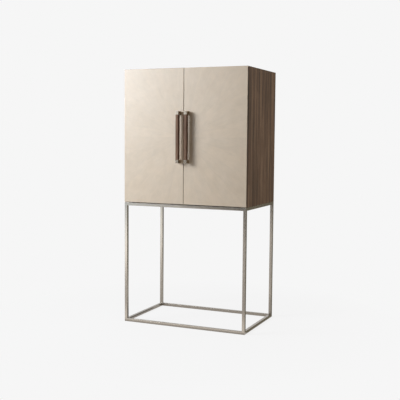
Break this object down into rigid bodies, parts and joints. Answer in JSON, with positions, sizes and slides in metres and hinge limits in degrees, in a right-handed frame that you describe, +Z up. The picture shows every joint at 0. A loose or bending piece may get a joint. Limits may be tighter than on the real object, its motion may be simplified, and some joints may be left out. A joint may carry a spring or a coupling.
{
  "type": "bar cabinet",
  "caption": "Tall two-door bar cabinet on an open square-tube stand, with a bottle rack, a glass shelf, a stemware rack and a serving shelf that folds out of one bay.",
  "frame": {"origin": "on the floor, under the middle of the bounding box, handles included", "axes": "+Z up, -Y out of the doors, +X to the right as seen by someone who faces the doors"},
  "size_m": [0.846, 0.58, 1.6503],
  "materials": {
    "nickel": "satin brushed, warm",
    "walnut": "smoked walnut veneer, satin",
    "grip_walnut": "oiled solid walnut",
    "hide": "pale taupe hide in soft rays from the handles",
    "brass": "satin",
    "dark_steel": "blackened",
    "clear_glass": "clear, ground edges"
  },
  "bodies": {
    "cabinet": {"base_rail_front": "nickel", "base_rail_back": "nickel", "base_rail_left": "nickel", "base_rail_right": "nickel", "top_rail_front": "nickel", "top_rail_back": "nickel", "top_rail_left": "nickel", "top_rail_right": "nickel", "leg_front_left": "nickel", "carcass_bolt_front_left": "dark_steel", "leg_front_right": "nickel", "carcass_bolt_front_right": "dark_steel", "leg_back_left": "nickel", "carcass_bolt_back_left": "dark_steel", "leg_back_right": "nickel", "carcass_bolt_back_right": "dark_steel", "side_panel_left": "walnut", "side_panel_right": "walnut", "bottom_panel": "walnut", "top_panel": "walnut", "back_panel": "walnut", "partition": "walnut", "bottle_shelf": "walnut", "bottle_divider_rising": "walnut", "bottle_divider_falling": "walnut", "counter_shelf": "walnut", "glass_shelf": "clear_glass", "shelf_pin_outer_front": "nickel", "shelf_pin_outer_back": "nickel", "shelf_pin_inner_front": "nickel", "shelf_pin_inner_back": "nickel", "stemware_rack": "nickel", "magnetic_catch": "dark_steel", "shelf_hinge_fixed_left": "brass", "shelf_hinge_pin_left": "brass", "pivot_plate_top_left": "nickel", "pivot_plate_bottom_left": "nickel", "shelf_hinge_fixed_right": "brass", "shelf_hinge_pin_right": "brass", "pivot_plate_top_right": "nickel", "pivot_plate_bottom_right": "nickel"},
    "left_door": {"door_left": "walnut", "door_facing_left": "hide", "pivot_bush_bottom_left": "brass", "pivot_bush_top_left": "brass", "handle_grip_left": "grip_walnut", "handle_post_lower_left": "nickel", "handle_post_upper_left": "nickel", "strike_plate_left": "dark_steel"},
    "right_door": {"door_right": "walnut", "door_facing_right": "hide", "pivot_bush_bottom_right": "brass", "pivot_bush_top_right": "brass", "handle_grip_right": "grip_walnut", "handle_post_lower_right": "nickel", "handle_post_upper_right": "nickel", "strike_plate_right": "dark_steel"},
    "leaf": {"fold_out_shelf": "walnut", "shelf_hinge_moving_left": "brass", "shelf_hinge_moving_right": "brass"}
  },
  "joints": [
    {"name": "left_door_hinge", "type": "hinge", "parent": "cabinet", "child": "left_door", "pos_m": [-0.416, -0.236, 1.22], "axis": [0, 0, -1], "range_deg": [0, 110]},
    {"name": "right_door_hinge", "type": "hinge", "parent": "cabinet", "child": "right_door", "pos_m": [0.416, -0.236, 1.22], "axis": [0, 0, 1], "range_deg": [0, 110]},
    {"name": "leaf_hinge", "type": "hinge", "parent": "cabinet", "child": "leaf", "pos_m": [0.2065, -0.205, 1.1528], "axis": [1, 0, 0], "range_deg": [0, 180]}
  ],
  "couplings": [
    {"joint": "leaf_hinge", "follows": "right_door_hinge", "ratio": 1.6363}
  ]
}
